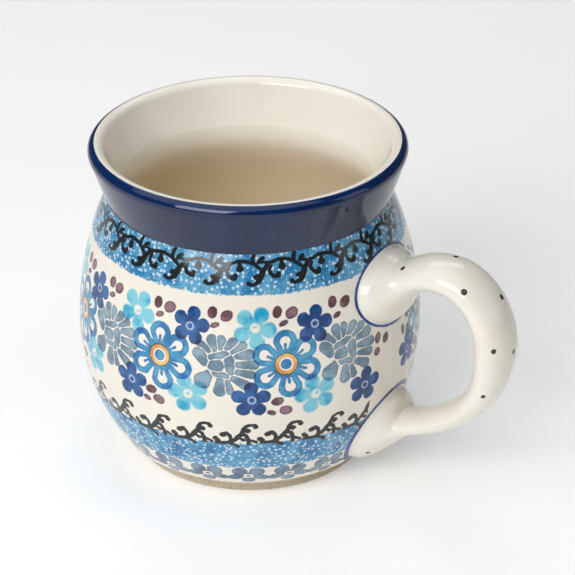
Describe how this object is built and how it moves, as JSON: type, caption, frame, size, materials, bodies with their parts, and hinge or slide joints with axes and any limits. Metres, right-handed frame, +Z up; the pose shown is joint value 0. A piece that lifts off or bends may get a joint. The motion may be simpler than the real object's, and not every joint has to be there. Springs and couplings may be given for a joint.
{
  "type": "stoneware bubble mug",
  "caption": "Round-bellied stoneware mug with a flared dark collar, stamped floral bands and a luted loop handle.",
  "frame": {"origin": "centre of the foot's underside, on the table", "axes": "+Z up along the body's axis, +X through the middle of the handle, +Y to its left as seen from the handle's end"},
  "size_m": [0.1252, 0.0918, 0.089],
  "materials": {
    "bare_stoneware": "unglazed fired stoneware, matt and slightly gritty",
    "slip": "fired slip, matt",
    "cream_glaze": "glossy cream glaze",
    "cobalt_glaze": "glossy dark cobalt glaze",
    "painted_glaze": "glossy clear glaze over stamped underglaze colours",
    "handle_glaze": "glossy cream glaze with small dark dots"
  },
  "bodies": {
    "root": {"clay_body": "bare_stoneware", "clay_handle": "bare_stoneware", "upper_slip_joint": "slip", "lower_slip_joint": "slip", "liner_glaze": "cream_glaze", "collar_glaze": "cobalt_glaze", "belly_glaze": "painted_glaze", "handle_glaze": "handle_glaze", "base_glaze": "cream_glaze"}
  },
  "joints": []
}
